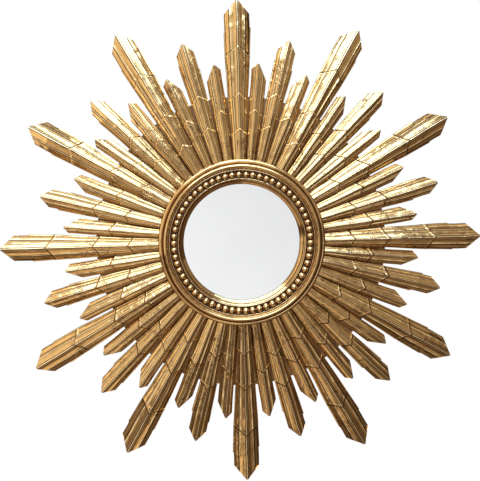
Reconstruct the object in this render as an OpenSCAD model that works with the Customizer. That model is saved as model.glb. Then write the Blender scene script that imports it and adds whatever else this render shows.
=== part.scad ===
/* [Star of rays] */
// Radius from the hub's centre to the tips of the long rays
long_tip = 450; // [430:1:470]
// Radius from the hub's centre to the tips of the medium rays
medium_tip = 385; // [372:1:395]
// Radius from the hub's centre to the tips of the short rays
short_tip = 334; // [322:1:345]
// Groups in the star, each with one long, one medium and two short rays
ray_groups = 12; // [10:1:12]
// Turn of the star from upright, as it hangs from one point
hang_turn = 1.27; // [-4:0.01:4]

/* [Lengths of moulding] */
// Outermost length of a long ray, from its tip to the first lap
long_first = 85; // [80:0.5:90]
// Second length of a long ray
long_second = 87.5; // [80:0.5:92]
// Third length of a long ray
long_third = 65.5; // [60:0.5:70]
// From a long ray's tip back to the end of its outer strip
long_strip_back = 55.7; // [52:0.1:58]
// Outermost length of a medium ray
medium_first = 101.5; // [96:0.5:106]
// Second length of a medium ray
medium_second = 61.5; // [56:0.5:66]
// From a medium ray's tip back to the end of its outer strip
medium_strip_back = 45.3; // [42:0.1:48]
// Outermost length of a short ray
short_first = 86; // [80:0.5:92]

/* [Ray widths] */
// Half width of a long ray's moulding near its tip
long_half = 23.6; // [22:0.1:25]
// Half width of a medium ray's moulding near its tip
medium_half = 16.6; // [15:0.1:18]
// Width of a short ray from its ridge to its side next to the long ray
short_near = 11.2; // [10:0.1:12]
// Width of a short ray from its ridge to its side next to the medium ray
short_far = 17.2; // [15.5:0.1:17.8]
// Seam between neighbouring rays at the frame ring
hub_gap = 0.4; // [0.3:0.05:0.8]
// Seam between neighbouring rays at the rim of the backing disc
rim_gap = 2.8; // [1.5:0.1:3.5]

/* [Ray moulding] */
// Thickness of a ray's square edge at its tip
ray_edge = 4.5; // [4:0.1:6]
// Height of the ridge over the edge, for each unit of half width
ridge_slope = 0.6; // [0.5:0.01:0.7]
// Rise where one length of moulding lies on the next
lap_step = 1.1; // [0.7:0.1:1.5]
// Slope in plan of the raked laps, length for each unit of half width
lap_rake = 0.85; // [0.7:0.05:1]
// Bluntness of tips and laps, as the half width of their flat crest
crest_blunt = 1.5; // [0.5:0.1:2]
// Outer strip of a long ray past its moulding, as a share of the half width
long_lip = 0.07; // [0.04:0.01:0.1]
// Outer strip of a medium ray past its moulding, as a share of the half width
medium_lip = 0.13; // [0.05:0.01:0.16]

/* [Frame ring] */
// Radius of the opening that shows the glass
sight_r = 109; // [107:0.5:111]
// Width of the flat fillet next to the glass
sight_flat = 1.6; // [1:0.1:2]
// Radius of the hollow moulding round that fillet
cove_r = 7.6; // [6.8:0.1:8.1]
// Width of the rim between the hollow moulding and the beads
inner_rim_w = 2.6; // [2:0.1:3]
// Height of that rim over the ring's back
inner_rim_rise = 15; // [14:0.1:15.6]
// Height of the bead channel's floor over the ring's back
channel_rise = 10.5; // [10:0.1:10.9]
// Gap between the beads and the channel's walls
channel_gap = 1.1; // [0.7:0.1:1.5]
// Width of the fillet between the beads and the outer hollow
fillet_w = 1.9; // [1.4:0.1:2.3]
// Height of that fillet over the ring's back
outer_rim_rise = 18; // [17.5:0.1:18.6]
// Width of the outer hollow
hollow_w = 4.1; // [3.6:0.1:4.6]
// Thickness of the lip over the glass
lip_t = 3; // [2.4:0.1:3.6]
// Radius of the half-round crown
crown_r = 3.4; // [3:0.1:3.7]
// Height of the crown's centre over the ring's back
crown_rise = 21; // [20:0.5:22]
// Width of the outer band, from the crown's foot to the ring's edge
band_w = 9.5; // [8.6:0.1:10.2]
// Radius of the rounded outer edge
outer_round_r = 5.25; // [3:0.25:6]
// Height of the outer edge's top over the ring's back
outer_rise = 15.6; // [14.8:0.1:16.6]

/* [Bead course] */
// Number of beads
bead_count = 62; // [40:1:70]
// Diameter of a bead
bead_d = 12.4; // [11:0.1:12.6]
// Thickness of the strip that carries the beads
strip_t = 1.6; // [1.2:0.1:2.4]

/* [Back and glass] */
// Radius of the backing disc
disc_r = 272; // [262:1:280]
// Thickness of the backing disc
disc_t = 12; // [11:0.5:18]
// Thickness of the wall pads
pad_t = 6; // [6:0.25:9]
// Diameter of a wall pad
pad_d = 24; // [18:1:34]
// From the backing disc's rim to the middle of a wall pad
pad_inset = 34; // [27:1:47]
// Thickness of the mirror glass
glass_t = 4; // [3:0.5:4.5]
// Width of the glass that the frame ring covers
glass_lap = 8; // [6:0.5:9]
// Thickness of the rays' flat tongues, which the ring holds down
tongue_t = 6; // [5.5:0.25:7]
// Length of a tongue under the ring
tongue_len = 27; // [20:1:27]

/* [Hanger] */
// From the backing disc's rim down to the hinge of the hanging ring
hanger_inset = 57; // [47:1:82]
// Diameter of the hanging ring's wire
wire_d = 3; // [2.6:0.1:3]
// Width of the hanging ring between the centres of its arms
loop_w = 23; // [21:0.5:28]
// Length of the hanging ring's straight arms
loop_arm = 8; // [7:0.5:14]
// Width of the strap
strap_w = 15; // [12:0.5:16]
// Thickness of the strap
strap_t = 1.2; // [1:0.1:1.3]

/* [Screws] */
// Shank diameter of a ray screw
ray_screw_d = 3.5; // [3:0.1:4]
// Depth of a ray screw's thread in its ray
ray_screw_bite = 8; // [6:0.5:9]
// Shank diameter of a ring screw
ring_screw_d = 4; // [3.5:0.1:4.5]
// Number of ring screws
ring_screw_count = 8; // [4:1:12]
// From the backing disc's rim to the long rays' screws
long_screw_inset = 37; // [30:1:44]
// From the backing disc's rim to the medium rays' screws
medium_screw_inset = 47; // [40:1:56]
// From the backing disc's rim to the short rays' screws
short_screw_inset = 62; // [54:1:70]

/* [Hidden] */
// Angles inside a group are written for a twelfth of a turn, counted from the long ray's ridge
group_angle = 360 / ray_groups;
spread = group_angle / 30;
medium_turn = 15.49 * spread;
short_left_turn = 7.72 * spread;
short_right_turn = -6.56 * spread;
// Seams between a ray and its neighbours
seam_long_right = -4.05 * spread;
seam_long_left = 4.6 * spread;
seam_medium_right = 11.75 * spread;
seam_medium_left = 19.2 * spread;
// The short rays' ridges lean towards the middle of their seams at the frame ring
short_left_hub_turn = 8.4 * spread;
short_right_hub_turn = -7.55 * spread;

// Places of the laps, counted inwards from the tip
long_lap_1 = long_tip - long_first;
long_lap_2 = long_lap_1 - long_second;
long_laps = [long_lap_1, long_lap_2, long_lap_2 - long_third];
medium_laps = [medium_tip - medium_first, medium_tip - medium_first - medium_second];
short_lap = short_tip - short_first;
lap_run = 1.2;
// Places where the outer strip ends, and their slant from side to side
long_strip_end = long_tip - long_strip_back;
long_strip_slant = 0.19;
medium_strip_end = medium_tip - medium_strip_back;
medium_strip_slant = -0.42;
strip_run = 0.6;
// Slopes in plan of the tips
long_tip_rake = 1.17;
medium_tip_rake = 1.3;
short_near_rake = 1.05;
short_far_rake = 1.85;

// Layers, counted outwards from the wall
disc_back = pad_t;
disc_front = disc_back + disc_t;
ring_back = disc_front + tongue_t;
glass_back = ring_back - glass_t;

// Frame ring's section, its mouldings counted outwards from the opening
cove_d = ring_back + lip_t + cove_r;
inner_rim_d = ring_back + inner_rim_rise;
channel_floor = ring_back + channel_rise;
channel_half = bead_d / 2 + channel_gap;
channel_in = sight_r + sight_flat + cove_r + inner_rim_w;
bead_path_r = channel_in + channel_half;
bead_lift = 0.2;
bead_centre_d = channel_floor + bead_d / 2 + bead_lift;
outer_rim_d = ring_back + outer_rim_rise;
hollow_in = bead_path_r + channel_half + fillet_w;
hollow_r = hollow_w / 2;
hollow_lift = 0.5;
crown_lap = 0.8;
crown_path_r = hollow_in + hollow_w + crown_r - crown_lap;
crown_d = ring_back + crown_rise;
neck_step = 0.4;
neck_half = crown_r - neck_step;
outer_top_d = ring_back + outer_rise;
ring_r = crown_path_r + neck_half + band_w;

// What the ring holds: the rays' tongues outside its spigot, the glass inside
fit_gap = 0.3;
glass_gap = 1;
pad_step = 2;
tongue_gap = 1.5;
hub_r = ring_r + fit_gap;
glass_r = sight_r + glass_lap;
spigot_in = glass_r + glass_gap;
spigot_out = ring_r - tongue_len - tongue_gap;

// Gap between neighbouring rays as a line over the radius
gap_slope = (rim_gap - hub_gap) / (disc_r - hub_r);
gap_start = hub_gap - gap_slope * hub_r;

// Places of the screws, counted in from the disc's rim, and their heads
long_screw_r = disc_r - long_screw_inset;
medium_screw_r = disc_r - medium_screw_inset;
short_screw_r = disc_r - short_screw_inset;
ring_screw_r = (spigot_in + spigot_out) / 2;
ring_screw_cover = 3.5;
ring_screw_bite = tongue_t + channel_rise - ring_screw_cover;
head_share = 2.2;
thread_gap = 0.05;
shank_gap = 0.25;

// Wall pads and hanger: the strap lies on the disc's back and curls round the ring's bar
pad_path_r = disc_r - pad_inset;
hanger_up = disc_r - hanger_inset;
wire_r = wire_d / 2;
knuckle_in = wire_r + 0.05;
knuckle_out = knuckle_in + strap_t;
hinge_d = disc_back - knuckle_out;
strap_hole_near = 9;
strap_hole_pitch = 25;
strap_hole_far = strap_hole_near + strap_hole_pitch;
hanger_screw_d = 3;
hanger_head_d = 6.4;
hanger_head_t = 1.8;
hanger_screw_bite = 9;
curl_gap = 1;

gold = [0.74, 0.58, 0.3];
dark_gold = [0.6, 0.44, 0.2];
birch = [0.78, 0.64, 0.46];
steel = [0.66, 0.66, 0.68];
brass = [0.8, 0.66, 0.34];

function numbered(base) = [for (i = [1 : ray_groups]) str(base, "_", i)];

// Stands what is drawn face up on the wall plane, with its face towards -Y
module on_wall() {
    rotate([90, 0, 0]) children();
}

// Turns a ray, drawn along +X, to its place in the star
module at_turn(turn) {
    on_wall() rotate([0, 0, 90 + hang_turn + turn]) translate([0, 0, disc_front]) children();
}

// Moulding from the ridge out: share of the half width, share of the ridge's height over the edge.
// A crest bead, a shallow cove up to an arris, and a slope that rounds down to the edge
moulding = [
    [0.06, 0.93], [0.1, 0.83], [0.3, 0.66], [0.58, 0.55], [0.64, 0.46], [0.8, 0.31], [0.94, 0.1]
];
edge_share = 0.04;

// A section across a ray. at is [station, rake right, rake left, slant], halves the half widths on
// the right and left, lip the outer strip's share, level the number of laps below, and ridge the
// ridge's distance from the ray's own axis
function section_side(side, at, halves, lip, level, ridge) =
    let(
        half = side < 0 ? halves[0] : halves[1],
        rake = side < 0 ? at[1] : at[2],
        rise = ridge_slope * (halves[0] + halves[1]) / 2,
        plank = ray_edge + level * lap_step,
        outline = concat(moulding, [[1 + lip, edge_share]])
    )
    concat(
        [for (p = outline) section_point(side, p[0] * half, plank + p[1] * rise, at, rake, ridge)],
        [section_point(side, (1 + lip) * half, 0, at, rake, ridge)]
    );

function section_point(side, out, high, at, rake, ridge) =
    let(y = ridge + side * out)
    at[0] == hub_r ? [sqrt(hub_r * hub_r - y * y), y, high]
    : [at[0] - rake * max(0, out - crest_blunt) - at[3] * y, y, high];

function reversed(list) = [for (i = [len(list) - 1 : -1 : 0]) list[i]];

function section(at, halves, lip, level, ridge = 0) =
    let(rise = ridge_slope * (halves[0] + halves[1]) / 2, plank = ray_edge + level * lap_step)
    concat(
        reversed(section_side(-1, at, halves, lip, level, ridge)),
        [section_point(1, 0, plank + rise, at, 0, ridge)],
        section_side(1, at, halves, lip, level, ridge)
    );

// Half width of a ray that fills its seam at a station. seam is the seam's angle from the ray's axis,
// and ridge the ridge's offset towards that seam
function seam_half(seam, station, rake, lip, ridge = 0) =
    let(slope = tan(seam) - gap_slope / 2)
    let(edge = (slope * (station + rake * (ridge + crest_blunt)) - gap_start / 2) / (1 + slope * rake))
    (edge - ridge) / (1 + lip);

function seam_halves(seams, station, rake, lip, ridge = 0) = [
    seam_half(seams[0], station, rake, lip, -ridge),
    seam_half(seams[1], station, rake, lip, ridge)
];

function between(a, b, share) = a + (b - a) * share;

// Lap at a station: the upper length ends and the lower one starts
function lap(station, halves, lip, level, ridge = 0) = [
    section([station, lap_rake, lap_rake, 0], halves, lip, level + 1, ridge),
    section([station + lap_run, lap_rake, lap_rake, 0], halves, lip, level, ridge)
];

// Closed solid through sections of one count, from the hub outwards
module lofted(sections) {
    count = len(sections[0]);
    last = len(sections) - 1;
    middle = (count - 1) / 2;
    hub_centre = [sections[0][middle][0], sections[0][middle][1], 0];
    tip_centre = [sections[last][middle][0], sections[last][middle][1], 0];
    points = concat([for (s = sections) each s], [hub_centre, tip_centre]);
    hub = (last + 1) * count;
    tip = hub + 1;
    skin = [
        for (j = [0 : last - 1], i = [0 : count - 2])
            let(a = j * count + i, b = a + count)
            each [[a, a + 1, b + 1], [a, b + 1, b]]
    ];
    underside = [
        for (j = [1 : last - 2])
            let(a = j * count, b = a + count)
            each [[a, b, b + count - 1], [a, b + count - 1, a + count - 1]]
    ];
    hub_end = [for (i = [0 : count - 2]) [hub, i + 1, i]];
    tip_end = [for (i = [0 : count - 2]) [tip, last * count + i, last * count + i + 1]];
    hub_floor = [
        [hub, 0, count], [hub, count, 2 * count - 1], [hub, 2 * count - 1, count - 1]
    ];
    outer = last * count;
    inner = outer - count;
    tip_floor = [
        [tip, outer + count - 1, inner + count - 1],
        [tip, inner + count - 1, inner],
        [tip, inner, outer]
    ];
    polyhedron(points, concat(skin, underside, hub_end, tip_end, hub_floor, tip_floor), convexity = 6);
}

// Tongue under the frame ring, between the ray's seams
module tongue(seams) {
    start = hub_r - tongue_len;
    right = start * tan(seams[0]) - hub_gap;
    left = start * tan(seams[1]) - hub_gap;
    translate([start, -right, 0]) cube([tongue_len + 2, right + left, tongue_t]);
}

// Adds the tongue and the screw's pilot hole, which is blind
module finished_ray(seams, screw_r) {
    difference() {
        union() {
            children();
            tongue(seams);
        }
        translate([screw_r, 0, -1])
            cylinder(r = ray_screw_d / 2 + thread_gap, h = ray_screw_bite + 1.5, $fn = 32);
    }
}

// Three laps; the outer strip ends on a slant short of the tip
module long_ray_shape() {
    seams = [-seam_long_right, seam_long_left];
    hub_halves = seam_halves(seams, hub_r, 0, long_lip);
    inner_halves = seam_halves(seams, long_laps[2], lap_rake, long_lip);
    knee_halves = seam_halves(seams, long_laps[1], lap_rake, long_lip);
    tip_halves = [long_half, long_half];
    share = (long_laps[0] - long_laps[1]) / (long_strip_end - long_laps[1]);
    outer_halves = between(knee_halves, tip_halves, share);
    strip_at = [long_strip_end, 0, 0, long_strip_slant];
    finished_ray(seams, long_screw_r) lofted(concat(
        [section([hub_r, 0, 0, 0], hub_halves, long_lip, 3)],
        lap(long_laps[2], inner_halves, long_lip, 2),
        lap(long_laps[1], knee_halves, long_lip, 1),
        lap(long_laps[0], outer_halves, long_lip, 0),
        [section(strip_at, tip_halves, long_lip, 0)],
        [section(strip_at + [strip_run, 0, 0, 0], tip_halves, 0, 0)],
        [section([long_tip, long_tip_rake, long_tip_rake, 0], tip_halves, 0, 0)]
    ));
}

// Two laps, and an outer strip as on the long ray
module medium_ray_shape() {
    seams = [medium_turn - seam_medium_right, seam_medium_left - medium_turn];
    hub_halves = seam_halves(seams, hub_r, 0, medium_lip);
    inner_halves = seam_halves(seams, medium_laps[1], lap_rake, medium_lip);
    knee_halves = seam_halves(seams, medium_laps[0], lap_rake, medium_lip);
    tip_halves = [medium_half, medium_half];
    strip_at = [medium_strip_end, 0, 0, medium_strip_slant];
    finished_ray(seams, medium_screw_r) lofted(concat(
        [section([hub_r, 0, 0, 0], hub_halves, medium_lip, 2)],
        lap(medium_laps[1], inner_halves, medium_lip, 1),
        lap(medium_laps[0], knee_halves, medium_lip, 0),
        [section(strip_at, tip_halves, medium_lip, 0)],
        [section(strip_at + [strip_run, 0, 0, 0], tip_halves, 0, 0)],
        [section([medium_tip, medium_tip_rake, medium_tip_rake, 0], tip_halves, 0, 0)]
    ));
}

// One lap. halves and rakes are of the tip; lean is the ridge's offset at the frame ring
module short_ray_shape(seams, lean, tip_halves, tip_rakes) {
    lap_lean = lean * short_first / (short_tip - hub_r);
    hub_halves = seam_halves(seams, hub_r, 0, 0, lean);
    lap_halves = seam_halves(seams, short_lap, lap_rake, 0, lap_lean);
    finished_ray(seams, short_screw_r) lofted(concat(
        [section([hub_r, 0, 0, 0], hub_halves, 0, 1, lean)],
        lap(short_lap, lap_halves, 0, 0, lap_lean),
        [section([short_tip, tip_rakes[0], tip_rakes[1], 0], tip_halves, 0, 0)]
    ));
}

module long_ray(i) {
    color(gold) at_turn((i - 1) * group_angle) long_ray_shape();
}

module medium_ray(i) {
    color(gold) at_turn((i - 1) * group_angle + medium_turn) medium_ray_shape();
}

// On the left of its long ray when that ray points up, with its narrow side on the right
module short_ray_left(i) {
    seams = [short_left_turn - seam_long_left, seam_medium_right - short_left_turn];
    lean = hub_r * tan(short_left_hub_turn - short_left_turn);
    color(dark_gold) at_turn((i - 1) * group_angle + short_left_turn)
        short_ray_shape(seams, lean, [short_near, short_far], [short_near_rake, short_far_rake]);
}

// On the right of its long ray, with its narrow side on the left
module short_ray_right(i) {
    seams = [short_right_turn - seam_medium_left + group_angle, seam_long_right - short_right_turn];
    lean = hub_r * tan(short_right_hub_turn - short_right_turn);
    color(dark_gold) at_turn((i - 1) * group_angle + short_right_turn)
        short_ray_shape(seams, lean, [short_far, short_near], [short_far_rake, short_near_rake]);
}

// Places one screw under each ray, at the ray's own radius
module at_ray_screws() {
    kinds = [
        [0, long_screw_r], [medium_turn, medium_screw_r],
        [short_left_turn, short_screw_r], [short_right_turn, short_screw_r]
    ];
    for (i = [0 : ray_groups - 1], kind = kinds)
        rotate([0, 0, 90 + hang_turn + i * group_angle + kind[0]])
            translate([kind[1], 0, disc_back]) children();
}

module at_ring_screws() {
    for (i = [0 : ring_screw_count - 1])
        rotate([0, 0, (i + 0.5) * 360 / ring_screw_count])
            translate([ring_screw_r, 0, disc_back]) children();
}

// Shank and countersunk head of a wood screw, or with gap its clearance hole
module countersunk(d, long, gap = 0) {
    head_r = d * head_share / 2 + gap;
    shank_r = d / 2 + gap;
    cylinder(r = shank_r, h = long, $fn = 32);
    cylinder(r1 = head_r, r2 = shank_r, h = head_r - shank_r, $fn = 32);
}

// Round board of plywood with its countersunk holes
module backing_disc() {
    color(birch) on_wall() difference() {
        translate([0, 0, disc_back]) cylinder(r = disc_r, h = disc_t, $fn = 180);
        at_ray_screws() translate([0, 0, -0.01]) countersunk(ray_screw_d, disc_t + 1, shank_gap);
        at_ring_screws() translate([0, 0, -0.01]) countersunk(ring_screw_d, disc_t + 1, shank_gap);
        at_hanger_screws() translate([0, 0, -1])
            cylinder(r = hanger_screw_d / 2 + thread_gap, h = hanger_screw_bite + 1.5, $fn = 32);
    }
}

// Section of the frame ring: lip, cove, bead channel, fillet, hollow, the crown's neck and the outer edge
module ring_section() {
    difference() {
        polygon([
            [sight_r, ring_back], [sight_r, inner_rim_d], [channel_in + 1, inner_rim_d],
            [channel_in + 1, outer_rim_d], [crown_path_r - neck_half, outer_rim_d],
            [crown_path_r - neck_half, crown_d], [crown_path_r + neck_half, crown_d],
            [crown_path_r + neck_half, outer_top_d], [ring_r, outer_top_d], [ring_r, ring_back],
            [spigot_out, ring_back], [spigot_out, disc_front],
            [spigot_in, disc_front], [spigot_in, ring_back]
        ]);
        translate([sight_r + sight_flat, cove_d]) circle(r = cove_r, $fn = 64);
        translate([sight_r - 1, cove_d - cove_r]) square([sight_flat + 1, inner_rim_d]);
        translate([sight_r - 1, cove_d]) square([sight_flat + cove_r + 1, inner_rim_d]);
        translate([channel_in, channel_floor]) square([2 * channel_half, inner_rim_d]);
        translate([hollow_in + hollow_r, outer_rim_d + hollow_lift]) circle(r = hollow_r, $fn = 48);
        translate([ring_r - outer_round_r, outer_top_d - outer_round_r]) difference() {
            square(outer_round_r + 1);
            circle(r = outer_round_r, $fn = 64);
        }
    }
}

module frame_ring() {
    color(gold) on_wall() difference() {
        union() {
            rotate_extrude($fn = 180) ring_section();
            rotate_extrude($fn = 180) translate([crown_path_r, crown_d]) circle(r = crown_r, $fn = 48);
        }
        at_ring_screws() translate([0, 0, disc_t - 1])
            cylinder(r = ring_screw_d / 2 + thread_gap, h = ring_screw_bite + 1.5, $fn = 32);
    }
}

// Round beads on a thin strip, which lies in the ring's channel
module bead_strip() {
    strip_half = channel_half - fit_gap;
    color(gold) on_wall() union() {
        rotate_extrude($fn = 180)
            translate([bead_path_r - strip_half, channel_floor]) square([2 * strip_half, strip_t]);
        for (i = [0 : bead_count - 1])
            rotate([0, 0, i * 360 / bead_count])
                translate([bead_path_r, 0, bead_centre_d]) sphere(r = bead_d / 2, $fn = 40);
    }
}

module mirror_glass() {
    color([0.9, 0.91, 0.93]) on_wall() translate([0, 0, glass_back])
        cylinder(r = glass_r, h = glass_t, $fn = 180);
}

// Soft felt between the backing disc and the glass
module glass_pad() {
    color([0.3, 0.31, 0.3]) on_wall() translate([0, 0, disc_front])
        cylinder(r = glass_r - pad_step, h = glass_back - disc_front, $fn = 120);
}

module ray_screws() {
    color(steel) on_wall() at_ray_screws() countersunk(ray_screw_d, disc_t + ray_screw_bite);
}

module ring_screws() {
    color(steel) on_wall() at_ring_screws() countersunk(ring_screw_d, disc_t + ring_screw_bite);
}

module at_hanger_screws() {
    for (down = [strap_hole_near, strap_hole_far])
        translate([0, hanger_up - down, disc_back]) children();
}

// Strap with a rounded foot, curled over the bar of the hanging ring
module hanger_strap() {
    color(brass) on_wall() difference() {
        union() {
            translate([-strap_w / 2, hanger_up - strap_hole_far, disc_back - strap_t])
                cube([strap_w, strap_hole_far, strap_t]);
            translate([0, hanger_up - strap_hole_far, disc_back - strap_t])
                cylinder(r = strap_w / 2, h = strap_t, $fn = 48);
            translate([-strap_w / 2, hanger_up, hinge_d]) rotate([0, 90, 0])
                cylinder(r = knuckle_out, h = strap_w, $fn = 48);
        }
        translate([-strap_w / 2 - 1, hanger_up, hinge_d]) rotate([0, 90, 0])
            cylinder(r = knuckle_in, h = strap_w + 2, $fn = 48);
        translate([-strap_w / 2 - 1, hanger_up - knuckle_out - 1, disc_back - strap_t - curl_gap])
            cube([strap_w + 2, knuckle_out + 1 - knuckle_in / 2, curl_gap]);
        at_hanger_screws() translate([0, 0, -strap_t - 1])
            cylinder(r = hanger_screw_d / 2 + shank_gap, h = strap_t + 2, $fn = 32);
    }
}

// D-shaped ring of round wire: the bar turns in the strap's curl
module hanger_ring() {
    side = loop_w / 2;
    color(brass) on_wall() translate([0, hanger_up, hinge_d]) union() {
        translate([-side, 0, 0]) rotate([0, 90, 0]) cylinder(r = wire_r, h = loop_w, $fn = 32);
        for (x = [-side, side]) {
            translate([x, 0, 0]) sphere(r = wire_r, $fn = 32);
            translate([x, 0, 0]) rotate([-90, 0, 0]) cylinder(r = wire_r, h = loop_arm, $fn = 32);
        }
        translate([0, loop_arm, 0]) rotate_extrude(angle = 180, $fn = 64)
            translate([side, 0]) circle(r = wire_r, $fn = 32);
    }
}

// Pan-head screws through the strap into the disc
module hanger_screws() {
    color(steel) on_wall() at_hanger_screws() union() {
        translate([0, 0, -strap_t])
            cylinder(r = hanger_screw_d / 2, h = strap_t + hanger_screw_bite, $fn = 32);
        translate([0, 0, -strap_t - hanger_head_t])
            cylinder(r = hanger_head_d / 2, h = hanger_head_t, $fn = 32);
    }
}

module wall_pads() {
    color([0.25, 0.24, 0.23]) on_wall() for (i = [0 : 3])
        rotate([0, 0, 45 + 90 * i]) translate([pad_path_r, 0, 0])
            cylinder(r = pad_d / 2, h = pad_t, $fn = 48);
}

for (i = [1 : ray_groups]) {
    long_ray(i);
    medium_ray(i);
    short_ray_left(i);
    short_ray_right(i);
}
backing_disc();
frame_ring();
bead_strip();
mirror_glass();
glass_pad();
ray_screws();
ring_screws();
hanger_strap();
hanger_ring();
hanger_screws();
wall_pads();
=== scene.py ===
import math

import bmesh
import bpy
import numpy as np
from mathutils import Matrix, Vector


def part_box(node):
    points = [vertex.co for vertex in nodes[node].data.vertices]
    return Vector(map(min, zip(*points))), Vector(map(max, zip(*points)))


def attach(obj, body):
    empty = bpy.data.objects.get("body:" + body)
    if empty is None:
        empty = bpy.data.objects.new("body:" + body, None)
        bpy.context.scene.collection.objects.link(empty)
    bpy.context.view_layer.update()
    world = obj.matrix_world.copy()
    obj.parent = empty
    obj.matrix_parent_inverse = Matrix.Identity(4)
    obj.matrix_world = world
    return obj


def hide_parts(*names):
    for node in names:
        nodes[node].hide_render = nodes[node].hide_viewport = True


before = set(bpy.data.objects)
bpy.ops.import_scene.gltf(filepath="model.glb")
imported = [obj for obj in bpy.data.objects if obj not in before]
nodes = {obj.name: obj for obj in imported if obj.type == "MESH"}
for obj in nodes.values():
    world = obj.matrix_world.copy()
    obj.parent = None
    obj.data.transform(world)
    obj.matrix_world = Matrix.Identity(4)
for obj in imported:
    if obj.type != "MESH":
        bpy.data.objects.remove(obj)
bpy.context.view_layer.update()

# Rays, ring and beads are worked out in millimetres. Camera, lamps, floor and materials are in metres
mm = 0.001
mirrorBody = "mirror_body"
groups = 12

# Distances from the wall, and the disc's radius. The ring's back is level with the front of the glass
discFront = -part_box("backing_disc")[0].y
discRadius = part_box("backing_disc")[1].x / mm
ringBack = -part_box("mirror_glass")[0].y
print("frame read:", len(nodes), "nodes, disc radius", round(discRadius, 1), "mm")


# Short calls for building node trees

class NodeNet:
    # A net of nodes: the node tree of a material, of a node group or of the world
    def __init__(self, tree):
        self.tree = tree

    def put(self, socket, value):
        # A link where the value is another socket, else the value, a colour with an alpha of 1
        if isinstance(value, bpy.types.NodeSocket):
            self.tree.links.new(value, socket)
        elif socket.type == "RGBA":
            socket.default_value = (*value, 1.0)
        else:
            socket.default_value = value

    def node(self, kind, inputs=None, **settings):
        made = self.tree.nodes.new("ShaderNode" + kind)
        for key, value in settings.items():
            setattr(made, key, value)
        for key, value in (inputs or {}).items():
            self.put(made.inputs[key], value)
        return made

    def math(self, operation, first, second=0.0, clamp=False):
        made = self.node("Math", {0: first, 1: second}, operation=operation, use_clamp=clamp)
        return made.outputs[0]

    def dot(self, first, second):
        made = self.node("VectorMath", {0: first, 1: second}, operation="DOT_PRODUCT")
        return made.outputs["Value"]

    def noise(self, vector, scale, detail=3.0, rough=0.5, distortion=0.0):
        made = self.node("TexNoise", {
            "Vector": vector, "Scale": scale, "Detail": detail, "Roughness": rough,
            "Distortion": distortion})
        return made.outputs["Fac"]

    def stretch(self, vector, amounts):
        return self.node("Mapping", {"Vector": vector, "Scale": amounts}).outputs[0]

    def ramp(self, value, low, high, toLow=0.0, toHigh=1.0):
        # A smooth step from toLow at low to toHigh at high
        made = self.node("MapRange", {
            "Value": value, "From Min": low, "From Max": high, "To Min": toLow, "To Max": toHigh},
            interpolation_type="SMOOTHSTEP")
        return made.outputs[0]

    def mix(self, factor, first, second):
        return self.node("Mix", {"Factor": factor, "A": first, "B": second}).outputs[0]

    def blend(self, factor, first, second):
        # As mix, for colours. The colour sockets of a Mix node are the inputs 6 and 7 and the output 2
        made = self.node("Mix", {0: factor, 6: first, 7: second}, data_type="RGBA")
        return made.outputs[2]


# Camera, lamps and room

view = {
    "azimuth": -4.0,
    "elevation": 5.0,
    "distance": 3.3,
    "lookAt": (-0.0036, -0.027, 0.0033),
    "widthAtMirror": 0.9006,
    "clipEnd": 30,
}


def makeCamera():
    # Place: lookAt + distance * (sin turn * cos lift, -cos turn * cos lift, sin lift), looking back along it
    turn = math.radians(view["azimuth"])
    lift = math.radians(view["elevation"])
    target = Vector(view["lookAt"])
    away = Vector((math.sin(turn) * math.cos(lift), -math.cos(turn) * math.cos(lift), math.sin(lift)))
    camera = bpy.data.objects.new("camera", bpy.data.cameras.new("camera"))
    camera.location = target + away * view["distance"]
    camera.rotation_euler = (-away).to_track_quat("-Z", "Y").to_euler()
    camera.data.angle = 2 * math.atan(view["widthAtMirror"] / 2 / view["distance"])
    camera.data.clip_end = view["clipEnd"]
    bpy.context.collection.objects.link(camera)
    bpy.context.scene.camera = camera


# level is the brightness of a lamp's face, on the scale of the room's own
skyLight = {"face": (0, 0, -1), "level": 5.9, "color": (0.59, 0.79, 1.0)}
paleWall = {"color": (1.0, 0.91, 0.72)}
lamps = {
    "overhead": {"centre": (-0.12, -0.85, 0.51), "size": (0.78, 1.14), **skyLight},
    "overRight": {"centre": (0.325, -0.95, 0.51), "size": (0.11, 0.94), **skyLight},
    "nearWall": {"centre": (-0.03, -0.165, 0.5), "size": (0.2, 0.19), **skyLight},
    "left": {"centre": (-0.55, -0.3, 0.3), "size": (0.9, 0.85), "face": (1, 0, 0), "level": 1.0,
             **paleWall},
    "right": {"centre": (0.6, -0.55, 0.5), "size": (0.9, 0.8), "face": (-1, 0, 0), "level": 0.3,
              **paleWall},
    "below": {"centre": (-0.7, -0.73, -0.6), "size": (1.5, 0.8), "face": (0, 0, 1), "level": 0.7,
              "color": (1.0, 0.84, 0.64)},
}


def makeLamp(name, centre, size, face, level, color):
    # A face of brightness level gives level * pi * width * height watts
    lamp = bpy.data.lights.new(name, "AREA")
    lamp.shape = "RECTANGLE"
    lamp.size, lamp.size_y = size
    lamp.energy = level * math.pi * size[0] * size[1]
    lamp.color = color
    box = bpy.data.objects.new(name, lamp)
    box.location = centre
    box.rotation_euler = Vector(face).to_track_quat("-Z", "Y").to_euler()
    bpy.context.collection.objects.link(box)


room = {
    "onDiffuse": 0.42,
    "level": 0.25,
    "swing": (-0.1, 0.12, -0.03),
    "least": 0.03,
    "behind": 0.3,
    "behindEdge": 0.15,
    "front": 0.89,
    "frontTilt": (-1.1, 0.0, -1.1),
    "frontCentre": (0.07, -0.99, -0.09),
    "frontEdge": (0.982, 0.995),
    "dimColor": (1.0, 0.72, 0.5),
    "dimEdge": (0.1, 0.7),
}
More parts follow.
